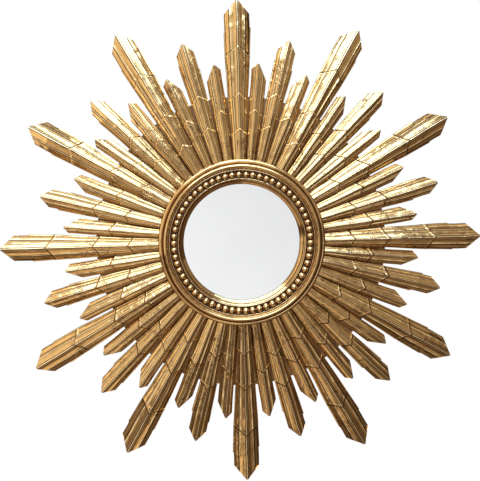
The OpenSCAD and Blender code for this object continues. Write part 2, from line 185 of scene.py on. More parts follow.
# Pale and dark areas of the room. In degrees: the angle from straight ahead of the mirror, the turn
# from the right of it, the radius and the soft edge. Last comes the brightness that the area adds
walls = {
    "behindViewer": (0, 0, 30, 20, 0.2),
    "paleSheet": (10, 130, 15, 5, 0.65),
    "overTheStar": (90, 90, 20, 20, 0.85),
    "upperRight": (95, 40, 10, 10, 1.0),
    "lowerLeft": (65, 215, 35, 5, -0.15),
}


def roomBrightness(net, direction):
    # level + direction . swing, plus each area's own where the direction lies in it, less behind the wall.
    # Straight ahead, which the glass shows, it is front + direction . frontTilt
    bright = net.math("ADD", net.dot(direction, room["swing"]), room["level"])
    for fromAhead, turn, radius, soft, level in walls.values():
        away, turned = math.radians(fromAhead), math.radians(turn)
        centre = (math.sin(away) * math.cos(turned), -math.cos(away), math.sin(away) * math.sin(turned))
        inner, outer = math.cos(math.radians(radius)), math.cos(math.radians(radius + soft))
        area = net.ramp(net.dot(direction, centre), outer, inner, 0.0, level)
        bright = net.math("ADD", bright, area)
    bright = net.math("MAXIMUM", bright, room["least"])
    towardsWall = net.dot(direction, (0, 1, 0))
    behind = net.ramp(towardsWall, 0.0, room["behindEdge"], 1.0, room["behind"])
    bright = net.math("MULTIPLY", bright, behind)
    straight = net.ramp(net.dot(direction, room["frontCentre"]), *room["frontEdge"])
    front = net.math("ADD", net.dot(direction, room["frontTilt"]), room["front"])
    return net.mix(straight, bright, front)


def makeWorld():
    # Polished metal sees the room, matte surfaces an even level, and the camera plain white
    world = bpy.data.worlds.new("studio")
    bpy.context.scene.world = world
    world.use_nodes = True
    world.node_tree.nodes.clear()
    net = NodeNet(world.node_tree)
    direction = net.node("TexCoord").outputs["Generated"]
    rays = net.node("LightPath").outputs
    seen = net.math("ADD", rays["Is Camera Ray"], rays["Is Transmission Ray"], clamp=True)
    lit = net.mix(rays["Is Glossy Ray"], room["onDiffuse"], roomBrightness(net, direction))
    strength = net.mix(seen, lit, 1.0)
    # What is dim in the room is warm, what is bright is white
    tint = net.blend(net.ramp(strength, *room["dimEdge"]), room["dimColor"], (1.0, 1.0, 1.0))
    background = net.node("Background", {"Color": tint, "Strength": strength})
    net.node("OutputWorld", {"Surface": background.outputs[0]})


makeCamera()
for lampName, lampValues in lamps.items():
    makeLamp(lampName + "Lamp", **lampValues)
makeWorld()
bpy.context.scene.view_settings.view_transform = "Standard"
print("camera, lamps and room made")


# Starting and finishing a material

def startMaterial(name, byGrain=False):
    # place is a point on the piece's own grain map, or else in the frame, in metres
    material = bpy.data.materials.new(name)
    material.use_nodes = True
    material.node_tree.nodes.clear()
    net = NodeNet(material.node_tree)
    if byGrain:
        return material, net, net.node("UVMap", uv_map="grain").outputs[0]
    return material, net, net.node("TexCoord").outputs["Object"]


def finishMaterial(net, color, roughness, height=None, bump=0.0002, **fixed):
    # One Principled surface. bump is how far, in metres, a height of 1 stands out
    inputs = {key.replace("_", " "): value for key, value in fixed.items()}
    if height is not None:
        relief = net.node("Bump", {"Height": height, "Strength": 1.0, "Distance": bump})
        inputs["Normal"] = relief.outputs[0]
    inputs.update({"Base Color": color, "Roughness": roughness})
    surface = net.node("BsdfPrincipled", inputs)
    net.node("OutputMaterial", {"Surface": surface.outputs[0]})


def startGroup(name, inputs, outputs):
    tree = bpy.data.node_groups.new(name, "ShaderNodeTree")
    for way, sockets in (("INPUT", inputs), ("OUTPUT", outputs)):
        for label, kind in sockets.items():
            tree.interface.new_socket(label, in_out=way, socket_type="NodeSocket" + kind)
    return tree, tree.nodes.new("NodeGroupInput").outputs, tree.nodes.new("NodeGroupOutput").inputs


# Gold leaf of the rays and of the ring

leaf = {
    # glaze and umber colour the real glaze, specks and pits, and also the painted shade that the recess mark
    # carries
    "glazeAndShade": (0.26, 0.115, 0.028),
    "umberAndShade": (0.085, 0.03, 0.008),
    "streakScale": 420, "streakEdge": (0.55, 0.62, 0.0, 1.3), "streakHeight": 0.22,
    "broadScale": 160, "broadHeight": 0.5,
    "crinkleScale": 210, "crinkleHeight": 1.9,
    "patchScale": 20, "patchEdge": (0.51, 0.62),
    "pitEdge": (0.46, 0.37, 0.0, 0.7),
    "cloudScale": 60, "cloudEdge": (0.45, 0.75, 0.0, 0.5), "cloudGloss": (0.3, 0.7, 0.07, 0.12),
    "deepEdge": (0.35, 0.95), "deepCloud": (0.2, 0.6, 0.75, 1.0),
    "speckScale": 150.0, "speckEdge": (0.10, 0.05, 0.0, 0.5),
    "wearAmount": 0.8, "recessAmount": 0.75,
    "glazedRough": 0.18, "recessRough": 0.3,
    "coat": 0.4, "coatRough": 0.1,
}
rayLeafLook = {"Gold": (0.78, 0.505, 0.205), "Burnished": (0.95, 0.75, 0.45), "Crinkle": 1.0,
               "Toning": 0.45}
ringLeafLook = {"Gold": (0.66, 0.415, 0.17), "Burnished": (0.9, 0.7, 0.42), "Crinkle": 0.35,
                "Toning": 0.5}


def makeLeafPatina():
    # Gold leaf over carved gesso. Vector holds metres across the grain (X) and along it (Y).
    # Color: gold, mixed to glaze by streaks and clouds * toning, to burnished by wear, to glaze and then
    # umber by recess, and to umber in specks and pits. Recess holds glaze in the hollows and painted shade
    # where
    # parts meet. Height: streaks + broad streaks + crinkled patches
    tree, given, out = startGroup(
        "leafPatina",
        {"Vector": "Vector", "Gold": "Color", "Burnished": "Color", "Wear": "Float", "Recess": "Float",
         "Crinkle": "Float", "Toning": "Float"},
        {"Color": "Color", "Roughness": "Float", "Height": "Float"})
    net = NodeNet(tree)
    place, recess = given["Vector"], given["Recess"]
    alongGrain = net.stretch(place, (1.0, 0.06, 1.0))
    streak = net.noise(alongGrain, leaf["streakScale"], detail=3, rough=0.55)
    broadStreak = net.noise(alongGrain, leaf["broadScale"], detail=2)
    patch = net.ramp(net.noise(place, leaf["patchScale"], detail=2, rough=0.55), *leaf["patchEdge"])
    halfAlong = net.stretch(place, (1.0, 0.5, 1.0))
    crinkleNoise = net.noise(halfAlong, leaf["crinkleScale"], detail=4, rough=0.55, distortion=0.9)
    crinkle = net.math("MULTIPLY", net.math("MULTIPLY", crinkleNoise, patch), given["Crinkle"])
    cloud = net.noise(place, leaf["cloudScale"], detail=3, rough=0.6)
    # Brown glaze lies in the streaks and in soft clouds
    cloudy = net.ramp(cloud, *leaf["cloudEdge"])
    soft = net.math("ADD", net.ramp(streak, *leaf["streakEdge"]), cloudy)
    glazed = net.math("MULTIPLY", soft, given["Toning"], clamp=True)
    color = net.blend(glazed, given["Gold"], leaf["glazeAndShade"])
    wear = net.math("MULTIPLY", given["Wear"], leaf["wearAmount"])
    color = net.blend(wear, color, given["Burnished"])
    # Glaze gathers in the hollows, as does the painted shade that the recess mark carries, and turns to
    # umber at the bottom of them
    hollow = net.math("MULTIPLY", recess, leaf["recessAmount"], clamp=True)
    color = net.blend(hollow, color, leaf["glazeAndShade"])
    clouded = net.math("MULTIPLY", recess, net.ramp(cloud, *leaf["deepCloud"]))
    color = net.blend(net.ramp(clouded, *leaf["deepEdge"]), color, leaf["umberAndShade"])
    speckPlace = {"Vector": place, "Scale": leaf["speckScale"]}
    specks = net.node("TexVoronoi", speckPlace).outputs["Distance"]
    color = net.blend(net.ramp(specks, *leaf["speckEdge"]), color, leaf["umberAndShade"])
    pits = net.math("MULTIPLY", net.ramp(crinkleNoise, *leaf["pitEdge"]), patch)
    pits = net.math("MULTIPLY", pits, given["Crinkle"], clamp=True)
    color = net.blend(pits, color, leaf["umberAndShade"])
    glazedRough = net.math("MULTIPLY", glazed, leaf["glazedRough"])
    rough = net.math("ADD", net.ramp(cloud, *leaf["cloudGloss"]), glazedRough)
    rough = net.math("ADD", rough, net.math("MULTIPLY", recess, leaf["recessRough"]), clamp=True)
    fine = net.math("MULTIPLY", streak, leaf["streakHeight"])
    height = net.math("ADD", fine, net.math("MULTIPLY", broadStreak, leaf["broadHeight"]))
    height = net.math("ADD", height, net.math("MULTIPLY", crinkle, leaf["crinkleHeight"]))
    for label, value in (("Color", color), ("Roughness", rough), ("Height", height)):
        tree.links.new(value, out[label])
    return tree


patinaGroup = makeLeafPatina()


def makeLeafMaterial(name, look, bump):
    # The patina on the piece's own grain map, with its own wear and recess at each point
    material, net, place = startMaterial(name, byGrain=True)
    marks = {label: net.node("Attribute", attribute_name=label.lower()).outputs["Fac"]
             for label in ("Wear", "Recess")}
    patina = net.node("Group", {"Vector": place, **marks, **look}, node_tree=patinaGroup)
    finishMaterial(net, *patina.outputs, bump=bump, Metallic=1.0, Coat_Weight=leaf["coat"],
                   Coat_Roughness=leaf["coatRough"])
    return material


rayLeaf = makeLeafMaterial("gilt_rays", rayLeafLook, bump=0.0003)
ringLeaf = makeLeafMaterial("gilt_ring", ringLeafLook, bump=0.0002)


# Bare wood on the backs of the rays, washed over in places

backWoodLook = {
    "pale": (0.50, 0.33, 0.17), "dark": (0.33, 0.19, 0.085), "wash": (0.36, 0.20, 0.055),
    "grainScale": 420, "grainEdge": (0.35, 0.7), "cloudScale": 25, "washEdge": (0.5, 0.68, 0.0, 0.7),
    "gloss": (0.3, 0.7, 0.6, 0.75), "bump": 0.0002,
}


def makeBackWood():
    # Pale to dark by noise drawn out along the grain, then to the wash by a broad noise
    look = backWoodLook
    material, net, place = startMaterial("ray_back_wood", byGrain=True)
    grain = net.noise(net.stretch(place, (1.0, 0.05, 1.0)), look["grainScale"], detail=5, rough=0.6)
    cloud = net.noise(place, look["cloudScale"], detail=2)
    color = net.blend(net.ramp(grain, *look["grainEdge"]), look["pale"], look["dark"])
    color = net.blend(net.ramp(cloud, *look["washEdge"]), color, look["wash"])
    finishMaterial(net, color, net.ramp(grain, *look["gloss"]), grain, bump=look["bump"])
    return material


# Birch plywood of the disc

plywoodLook = {
    "pale": (0.60, 0.42, 0.24), "dark": (0.49, 0.32, 0.165), "fibre": (0.38, 0.24, 0.12),
    "edgePale": (0.52, 0.36, 0.2), "edgeDark": (0.22, 0.125, 0.06), "edgeFibre": (0.16, 0.09, 0.045),
    "toned": (0.2, 0.08, 0.014), "tonedEdge": (0.5, -0.3, 0.0, 0.93),
    "figureScale": 26, "rings": 42.0, "fibreScale": 700, "pliesApart": 0.00267,
    "gloss": (0.3, 0.7, 0.55, 0.7), "bump": 0.00015,
}


def makePlywood():
    # Face: sine of a drawn-out noise, as the rings of peeled veneer. Rim: one pale and one dark ply in
    # each pliesApart of depth. The normal's Y tells face from rim, and back from front
    look = plywoodLook
    material, net, place = startMaterial("plywood")
    normal = net.node("NewGeometry").outputs["Normal"]
    facing = net.node("SeparateXYZ", {0: normal}).outputs["Y"]
    depth = net.node("SeparateXYZ", {0: place}).outputs["Y"]
    drawnOut = net.stretch(place, (0.22, 1.0, 1.0))
    figure = net.noise(drawnOut, look["figureScale"], detail=3, rough=0.55, distortion=1.2)
    rings = net.math("SINE", net.math("MULTIPLY", figure, look["rings"]))
    fibre = net.noise(net.stretch(place, (0.03, 1.0, 1.0)), look["fibreScale"], detail=3, rough=0.6)
    face = net.blend(net.ramp(rings, -0.9, 1.0), look["pale"], look["dark"])
    face = net.blend(net.ramp(fibre, 0.45, 0.75, 0.0, 0.5), face, look["fibre"])
    ply = net.math("FRACT", net.math("MULTIPLY", depth, 1 / look["pliesApart"]))
    edge = net.blend(net.ramp(ply, 0.45, 0.55), look["edgePale"], look["edgeDark"])
    edge = net.blend(net.ramp(fibre, 0.4, 0.8, 0.0, 0.6), edge, look["edgeFibre"])
    color = net.blend(net.ramp(net.math("ABSOLUTE", facing), 0.6, 0.8), edge, face)
    # The front and the rim are toned like the rays, so that the gaps between them stay golden brown
    color = net.blend(net.ramp(facing, *look["tonedEdge"]), color, look["toned"])
    finishMaterial(net, color, net.ramp(fibre, *look["gloss"]), fibre, bump=look["bump"])
    return material


# Silvered glass

glassLook = {"silver": (0.93, 0.935, 0.94), "hazy": (0.905, 0.91, 0.915), "hazeScale": 9, "wipeScale": 60}


def makeMirrorGlass():
    # A broad noise hazes the silver a little, and one drawn out upwards leaves marks of wiping in its gloss
    look = glassLook
    material, net, place = startMaterial("silvered_glass")
    haze = net.noise(place, look["hazeScale"], detail=3, rough=0.6)
    wipe = net.noise(net.stretch(place, (1.0, 1.0, 0.25)), look["wipeScale"], detail=3, rough=0.6)
    color = net.blend(net.ramp(haze, 0.35, 0.7), look["silver"], look["hazy"])
    wiped = net.ramp(wipe, 0.4, 0.8, 0.012, 0.03)
    rough = net.math("ADD", wiped, net.ramp(haze, 0.4, 0.8, 0.0, 0.02))
    finishMaterial(net, color, rough, Metallic=1.0)
    return material


# Dark grey felt of the pads

feltLook = {"dark": (0.03, 0.028, 0.026), "pale": (0.085, 0.08, 0.074), "fibreScale": 1800,
            "clumpScale": 300, "roughness": 0.95, "sheen": 0.35, "sheenRough": 0.5, "bump": 0.0004}


def makeFelt():
    # Curled fibres are a distorted fine noise, and the height adds a coarser one for clumps
    look = feltLook
    material, net, place = startMaterial("felt")
    fibre = net.noise(place, look["fibreScale"], detail=4, rough=0.7, distortion=2.0)
    clump = net.noise(place, look["clumpScale"], detail=3, rough=0.6)
    color = net.blend(net.ramp(fibre, 0.35, 0.7), look["dark"], look["pale"])
    finishMaterial(net, color, look["roughness"], net.math("ADD", fibre, clump), bump=look["bump"],
                   Sheen_Weight=look["sheen"], Sheen_Roughness=look["sheenRough"])
    return material


# Brass of the strap and its ring, and zinc plate of the screws

metalLooks = {
    "brass": {"bright": (0.72, 0.50, 0.20), "dull": (0.40, 0.25, 0.09), "cloudScale": 150,
              "dullEdge": (0.42, 0.7), "gloss": (0.4, 0.7, 0.24, 0.42), "grainScale": 1500,
              "grainRun": 0.05, "grainGloss": 0.12, "bump": 0.00005},
    "zinc_screws": {"bright": (0.56, 0.56, 0.57), "dull": (0.40, 0.39, 0.37), "cloudScale": 400,
                    "dullEdge": (0.4, 0.7), "gloss": (0.3, 0.7, 0.25, 0.42), "grainScale": 2600,
                    "grainRun": 1.0, "grainGloss": 0.0, "bump": 0.00004},
}


def makeMetal(name):
    # Bright to dull by noise, which also roughens it. A grainRun below 1 draws the fine grain out into
    # scratches that run up and down, and they add grainGloss to the roughness
    look = metalLooks[name]
    material, net, place = startMaterial(name)
    cloud = net.noise(place, look["cloudScale"], detail=4, rough=0.6)
    grain = net.noise(net.stretch(place, (1.0, 1.0, look["grainRun"])), look["grainScale"], detail=2)
    color = net.blend(net.ramp(cloud, *look["dullEdge"]), look["bright"], look["dull"])
    scratched = net.ramp(grain, 0.5, 0.8, 0.0, look["grainGloss"])
    rough = net.math("ADD", net.ramp(cloud, *look["gloss"]), scratched)
    finishMaterial(net, color, rough, grain, bump=look["bump"], Metallic=1.0)
    return material


backWood = makeBackWood()
plywood = makePlywood()
mirrorGlass = makeMirrorGlass()
felt = makeFelt()
brass = makeMetal("brass")
zinc = makeMetal("zinc_screws")
print("materials made")


# Making a piece from points and faces

def makePiece(name, points, faces, material, body, stands=(), marks=None, grain=None, sharp=32,
              backFaces=None, backMaterial=None):
    # points are metres in the frame, marks one value for each point, grain a place on the leaf for each
    # point, and sharp the angle in degrees past which an edge isn't smoothed
    mesh = bpy.data.meshes.new(name)
    mesh.from_pydata(points.reshape(-1, 3), [], faces)
    mesh.update()
    mesh.materials.append(material)
    if backMaterial is not None:
        mesh.materials.append(backMaterial)
        index = np.zeros(len(mesh.polygons), np.int32)
        index[backFaces] = 1
        mesh.polygons.foreach_set("material_index", index)
    for key, values in (marks or {}).items():
        mark = mesh.attributes.new(key, "FLOAT", "POINT")
        mark.data.foreach_set("value", np.ascontiguousarray(values, np.float32).ravel())
    if grain is not None:
        corner = np.zeros(len(mesh.loops), np.int32)
        mesh.loops.foreach_get("vertex_index", corner)
        layer = mesh.uv_layers.new(name="grain")
        layer.data.foreach_set("uv", np.ascontiguousarray(grain.reshape(-1, 2)[corner], np.float32).ravel())
    if signedVolume(mesh) < 0:
        mesh.flip_normals()
    mesh.shade_smooth()
    mesh.set_sharp_from_angle(angle=math.radians(sharp))
    piece = bpy.data.objects.new(name, mesh)
    bpy.context.collection.objects.link(piece)
    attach(piece, body)
    if stands:
        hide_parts(*stands)


def signedVolume(mesh):
    # Below zero when the faces look inwards
    solid = bmesh.new()
    solid.from_mesh(mesh)
    volume = solid.calc_volume(signed=True)
    solid.free()
    return volume


def gridFaces(rows, columns, closeRows=False, closeColumns=False, first=0):
    # Quads of a grid whose point in row i and column j has the number first + i * columns + j
    row = np.arange(rows if closeRows else rows - 1)[:, None]
    column = np.arange(columns if closeColumns else columns - 1)[None, :]
    nextRow, nextColumn = (row + 1) % rows, (column + 1) % columns
    quads = np.stack([row * columns + column, row * columns + nextColumn,
                      nextRow * columns + nextColumn, nextRow * columns + column], axis=-1)
    return (quads.reshape(-1, 4) + first).tolist()


def arc(centre, radius, start, end, count):
    # Points centre + radius * (cos a, sin a), with a from start to end in degrees. Two radii give an ellipse
    angle = np.radians(np.linspace(start, end, count))
    return np.array(centre) + np.broadcast_to(radius, 2) * np.stack([np.cos(angle), np.sin(angle)], axis=1)


def smoothStep(value, low, high):
    # 3 t^2 - 2 t^3, with t from 0 at low to 1 at high
    t = np.clip((value - low) / (high - low), 0, 1)
    return t * t * (3 - 2 * t)


def bell(value, middle, width):
    # exp(-((value - middle) / width)^2)
    return np.exp(-((value - middle) / width) ** 2)


# Rays. Their own directions: along from the star's centre, across to the left of it, height over the disc

star = {
    "hangTurn": 1.27,  # how far the whole star hangs turned, in degrees
    "hub": 156.8,  # radius at which the rays start, at the frame ring
    "hubGap": 0.4,  # gap between neighbours there
    "rimGap": 2.8,  # and at the disc's rim
    "mediumTurn": 15.49,  # turns from a group's long ray, in degrees
    "leftTurn": 7.72,
    "rightTurn": -6.56,
    "leftHubTurn": 8.4,  # the short rays' ridges start a little aside
    "rightHubTurn": -7.55,
    "seams": {"longRight": -4.05, "longLeft": 4.6, "mediumRight": 11.75, "mediumLeft": 19.2},
}
# laps and stripEnd are measured back from the tip, lip is the outer fillet as a share of the half width
longRay = {"tip": 450.0, "laps": (85.0, 172.5, 238.0), "stripEnd": 55.7, "half": 23.6, "lip": 0.07,
           "endSlant": 0.19, "tipRake": 1.17, "clearOfNeighbours": True}
mediumRay = {"tip": 385.0, "laps": (101.5, 163.0), "stripEnd": 45.3, "half": 16.6, "lip": 0.13,
             "endSlant": -0.42, "tipRake": 1.3, "clearOfNeighbours": False}
shortRay = {"tip": 334.0, "lap": 86.0, "narrow": 11.2, "wide": 17.2, "lip": 0.004,
            "narrowRake": 1.05, "wideRake": 1.85}
carving = {
    "edge": 4.5,  # thickness at a ray's edge
    "slope": 0.6,  # rise of the ridge for each millimetre of half width
    "lapStep": 1.1,  # each length lies this much over the next one out
    "lapRake": 0.85,  # a lap runs back from the ridge this much
    "lapRun": 2.2,  # and comes down over this length
    "lapBow": 0.055,
    "blunt": 1.5,  # half width of the blunt nose of laps and tips
    "endLip": 0.004,
    "endStep": 0.6,
    "lipDrop": ((1.4, 1.9, 2.0), (0.0, 0.12, 0.45)),
    "rowSpacing": 4.5,
    "leastSpacing": 0.1,
    "tipRows": (-1.2, -0.35),
    "lapRows": (-3.0, -1.9, -1.3, -0.9, -0.5, -0.15, 0.0, 0.3, 0.7, 1.1, 1.5, 1.9, 2.2, 2.6, 3.1, 3.8),
    "rib": 0.2,  # raised end of each length
    "ribWidth": 1.0,
    "footAt": 2.6,  # painted shadow beside it, on the next length out under the lap
    "footWidth": 0.7,
    "calmRun": 8,  # no hand work over this length at the ring
    "wobble": 0.12,
    "wobblePeriods": ((61, 1.0), (27, 0.6), (11, 0.25)),
    "wobbleSkew": 2.2,
    "wobbleShares": ((0, 0.15, 1, 2), (0.3, 1, 1, 0.4)),
    "lengthTilt": 0.065,
    "tiltLimit": 0.08,
    "cutShares": (0.25, 0.48),
    "cutDepth": 0.3,
    "cutWidth": 0.017,
    "sway": 0.22,
    "swayPeriod": 83,
}

# Moulding from the ridge out: share of the half width, share of the ridge's height over the edge
mouldingShares = np.array([
    [0.0, 1.0], [0.025, 0.994], [0.045, 0.975], [0.06, 0.94], [0.07, 0.9], [0.085, 0.845],
    [0.105, 0.825], [0.125, 0.83], [0.14, 0.82], [0.2, 0.745], [0.3, 0.655], [0.4, 0.595], [0.5, 0.56],
    [0.565, 0.55], [0.59, 0.553], [0.605, 0.535], [0.625, 0.475], [0.645, 0.455], [0.7, 0.415],
    [0.76, 0.355], [0.82, 0.285], [0.88, 0.2], [0.92, 0.13], [0.94, 0.1], [1.0, 0.05], [2.0, 0.03],
])
# Columns of points, dense at the arrises. A share over 1 lies on the lip, and the signed ones are both faces
columnShares = np.concatenate([
    [0.0, 0.025, 0.045, 0.06, 0.072, 0.085, 0.105, 0.125, 0.14, 0.165], np.linspace(0.2, 0.5, 17),
    [0.54, 0.565, 0.59, 0.605, 0.625, 0.645, 0.67], np.linspace(0.7, 0.88, 7),
    [0.905, 0.92, 0.94, 0.97, 1.0, 1.4, 1.9, 2.0],
])
signedShares = np.concatenate([-columnShares[:0:-1], columnShares])
onLeft = signedShares >= 0

# Where the leaf is rubbed and where glaze lies across a ray: share of the half width, width and strength
rubbed = {"ridge": (0.02, 0.035, 1.2), "arris": (0.14, 0.015, 1.2), "step": (0.59, 0.025, 1.0),
          "edge": (1.96, 0.08, 0.7)}
glazed = {"besideRidge": (0.09, 0.026, 2.0), "underStep": (0.65, 0.035, 1.6), "flute": (0.3, 0.1, 0.25),
          "fillet": (0.955, 0.03, 1.1)}
# Glaze and wear of the carving, and painted shade: a painted shadow at the foot of each lap, and painted
# shade low between neighbours near the frame ring
glazeWearAndShade = {
    "lip": 0.45, "lipEdge": (1.05, 1.3),
    "ribWear": 0.3, "ribClean": 0.6, "foot": 0.9,
    "cut": 0.85, "cutWear": 0.6, "cutWearWidth": 0.015, "besideCut": 0.04,
    "crowdShade": 0.5, "crowdEdge": (150, 300), "crowdLip": (0.86, 1.6),
}


def mouldingMarks(share):
    # Sums of bells over the share: arrises are rubbed bright, the grooves beside them hold glaze
    wear = sum(strength * bell(share, middle, width) for middle, width, strength in rubbed.values())
    recess = sum(strength * bell(share, middle, width) for middle, width, strength in glazed.values())
    recess = recess + glazeWearAndShade["lip"] * smoothStep(share, *glazeWearAndShade["lipEdge"])
    return {"wear": np.clip(wear, 0, 1), "recess": np.clip(recess, 0, 1)}


def seamHalf(seam, station, rake, lip, ridge):
    # Half width, from the ridge to the seam less half the gap, at a section raked back from its station.
    # The gap grows evenly from the hub to the disc's rim
    gapSlope = (star["rimGap"] - star["hubGap"]) / (discRadius - star["hub"])
    gapStart = star["hubGap"] - gapSlope * star["hub"]
    slope = math.tan(math.radians(seam)) - gapSlope / 2
    edge = (slope * (station + rake * (ridge + carving["blunt"])) - gapStart / 2) / (1 + slope * rake)
    return (edge - ridge) / (1 + lip)


def seamHalves(seams, station, rake, lip, ridge=0.0):
    # Right and left half width of a section
    return [seamHalf(seams[0], station, rake, lip, -ridge), seamHalf(seams[1], station, rake, lip, ridge)]


def sectionPoints(key):
    # across = ridge + half width * share, height = edge + laps over it + moulding * rise of the ridge.
    # along = station - rake * distance from the ridge - slant * across - a half sine of bow, or at the hub
    # the frame ring's circle, sqrt(hub^2 - across^2)
    share = np.abs(signedShares)
    half = np.where(onLeft, key["halves"][1], key["halves"][0])
    rake = np.where(onLeft, key["rakes"][1], key["rakes"][0])
    out = half * (np.minimum(share, 1) + key["lip"] * np.clip(share - 1, 0, 1))
    across = key["ridge"] + np.sign(signedShares) * out
    rise = carving["slope"] * sum(key["halves"]) / 2
    moulding = np.interp(share, mouldingShares[:, 0], mouldingShares[:, 1])
    height = carving["edge"] + key["level"] * carving["lapStep"] + moulding * rise
    height = height - np.interp(share, *carving["lipDrop"])
    if key.get("atHub"):
        along = np.sqrt(star["hub"] ** 2 - across ** 2)
    else:
        along = key["station"] - rake * np.maximum(0, out - carving["blunt"]) - key["slant"] * across
        along = along - key["bow"] * half * np.sin(np.pi * np.minimum(share, 1))
    return np.stack([along, across, height], axis=1)


def keyAt(station, halves, lip, level, rakes=(0, 0), slant=0.0, ridge=0.0, bow=0.0, **more):
    return {"station": station, "halves": halves, "lip": lip, "level": level, "rakes": rakes,
            "slant": slant, "ridge": ridge, "bow": bow, **more}


def lapKeys(station, halves, lip, level, ridge=0.0):
    # A lap is two like sections, the outer one lapRun further out and one level lower
    raked = {"rakes": (carving["lapRake"],) * 2, "ridge": ridge, "bow": carving["lapBow"]}
    return [keyAt(station, halves, lip, level + 1, **raked),
            keyAt(station + carving["lapRun"], halves, lip, level, **raked)]


def straightRayKeys(ray, seams):
    # From the hub over the laps to the end of the outer strip, and on to a bevelled tip. The outermost
    # lap of a long ray is clear of its neighbours, so its width lies between the next lap's and the strip's
    lip, rake, tip = ray["lip"], carving["lapRake"], ray["tip"]
    laps = [tip - back for back in ray["laps"]]
    stripEnd = tip - ray["stripEnd"]
    ownHalves = [ray["half"]] * 2
    halves = [seamHalves(seams, lap, rake, lip) for lap in laps]
    if ray["clearOfNeighbours"]:
        part = (laps[0] - laps[1]) / (stripEnd - laps[1])
        halves[0] = [near + (own - near) * part for near, own in zip(halves[1], ownHalves)]
    keys = [keyAt(star["hub"], seamHalves(seams, star["hub"], 0, lip), lip, len(laps), atHub=True)]
    for level in reversed(range(len(laps))):
        keys += lapKeys(laps[level], halves[level], lip, level)
    slant, endLip = ray["endSlant"], carving["endLip"]
    keys.append(keyAt(stripEnd, ownHalves, lip, 0, slant=slant))
    keys.append(keyAt(stripEnd + carving["endStep"], ownHalves, endLip, 0, slant=slant))
    keys.append(keyAt(tip, ownHalves, endLip, 0, (ray["tipRake"],) * 2))
    return laps, keys


def longRayKeys():
    return straightRayKeys(longRay, [-star["seams"]["longRight"], star["seams"]["longLeft"]])


def mediumRayKeys():
    turn, seams = star["mediumTurn"], star["seams"]
    return straightRayKeys(mediumRay, [turn - seams["mediumRight"], seams["mediumLeft"] - turn])


def shortRayKeys(leftOfLong):
    # The ridge leans: it starts aside at the hub and comes straight at the tip. The side next to the
    # medium ray is the wide one
    seams, ray = star["seams"], shortRay
    if leftOfLong:
        turn, hubTurn = star["leftTurn"], star["leftHubTurn"]
        seams = [turn - seams["longLeft"], seams["mediumRight"] - turn]
        halves, rakes = [ray["narrow"], ray["wide"]], (ray["narrowRake"], ray["wideRake"])
    else:
        turn, hubTurn = star["rightTurn"], star["rightHubTurn"]
        seams = [turn - seams["mediumLeft"] + 360 / groups, seams["longRight"] - turn]
        halves, rakes = [ray["wide"], ray["narrow"]], (ray["wideRake"], ray["narrowRake"])
    tip, hub, lip = ray["tip"], star["hub"], ray["lip"]
    lap = tip - ray["lap"]
    lean = hub * math.tan(math.radians(hubTurn - turn))
    lapLean = lean * (tip - lap) / (tip - hub)
    lapHalves = seamHalves(seams, lap, carving["lapRake"], lip, lapLean)
    return [lap], [
        keyAt(hub, seamHalves(seams, hub, 0, lip, lean), lip, 1, ridge=lean, atHub=True),
        *lapKeys(lap, lapHalves, lip, 0, lapLean),
        keyAt(tip, halves, lip, 0, rakes),
    ]


def rowStations(keys, laps):
    # Even rows, and closer ones at the keys, the laps and the tip
    start, end = keys[0]["station"], keys[-1]["station"]
    rows = np.concatenate([np.arange(start, end, carving["rowSpacing"]), [key["station"] for key in keys],
                           end + np.array(carving["tipRows"]),
                           *[lap + np.array(carving["lapRows"]) for lap in laps]])
    rows = np.unique(np.round(rows, 3))
    return rows[np.concatenate([[True], np.diff(rows) > carving["leastSpacing"]])]


def layRows(keys, laps):
    # Between two keys each point is a straight mix of the points of their sections
    stations = np.array([key["station"] for key in keys])
    sections = np.stack([sectionPoints(key) for key in keys])
    rows = rowStations(keys, laps)
    before = np.clip(np.searchsorted(stations, rows, side="right") - 1, 0, len(keys) - 2)
    part = ((rows - stations[before]) / (stations[before + 1] - stations[before]))[:, None, None]
    return rows, sections[before] * (1 - part) + sections[before + 1] * part


def raiseLaps(rows, laps, place, marks):
    # Each length ends in a raised, rubbed rib, a bell along the ray, with a painted shadow at the foot of
    # the lap
    at = rows[:, None]
    for lap in laps:
        rib = bell(at, lap - carving["ribWidth"], carving["ribWidth"])
        foot = bell(at, lap + carving["footAt"], carving["footWidth"])
        place[:, :, 2] += carving["rib"] * rib
        marks["wear"] = np.maximum(marks["wear"], glazeWearAndShade["ribWear"] * rib)
        kept = marks["recess"] * (1 - glazeWearAndShade["ribClean"] * rib)
        marks["recess"] = np.maximum(kept, glazeWearAndShade["foot"] * foot)


